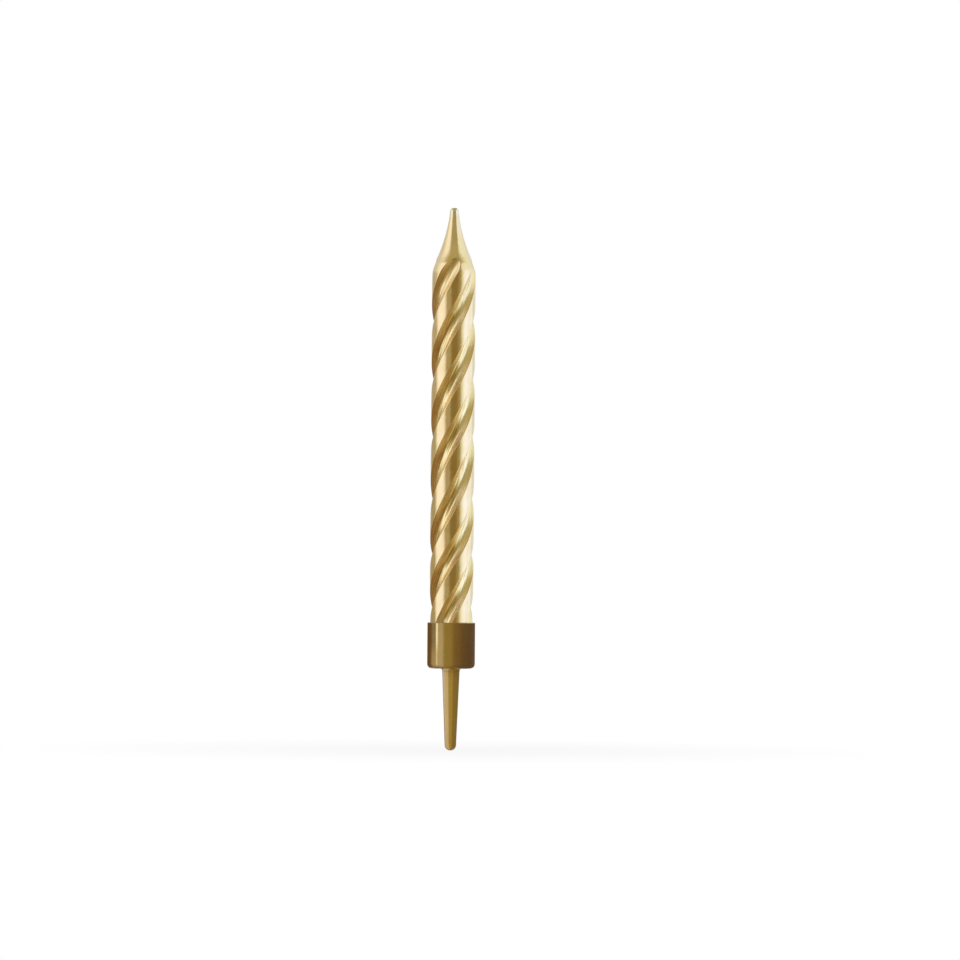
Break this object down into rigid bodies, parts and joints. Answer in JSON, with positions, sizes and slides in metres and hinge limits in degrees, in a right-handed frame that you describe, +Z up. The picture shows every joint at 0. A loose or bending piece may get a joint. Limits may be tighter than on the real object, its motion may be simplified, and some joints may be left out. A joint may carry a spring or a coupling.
{
  "type": "spiral birthday candle",
  "caption": "Slim spiral-fluted wax birthday candle with a drawn tip and wick, standing in a plastic cup holder with a stake for the cake.",
  "frame": {"origin": "centre of the cup's flat underside, at the level of the cake's surface when the stake is pushed in", "axes": "+Z up along the candle from cup to wick; -Y is the side that the picture shows; +X is to the right there"},
  "size_m": [0.0072, 0.0072, 0.0827],
  "materials": {
    "gold_lacquered_wax": "pale metallic gold lacquer on paraffin wax, bare wax on the cut foot",
    "cotton_wick": "braided cotton, waxed, with gold lacquer on its end",
    "gold_plastic": "moulded plastic in dull bronze gold, satin gloss"
  },
  "bodies": {
    "holder": {"holder": "gold_plastic"},
    "candle": {"wax_body": "gold_lacquered_wax", "wick": "cotton_wick"}
  },
  "joints": [
    {"name": "candle_pull", "type": "slide", "parent": "holder", "child": "candle", "axis": [0, 0, 1], "range_m": [0, 0.008]}
  ]
}
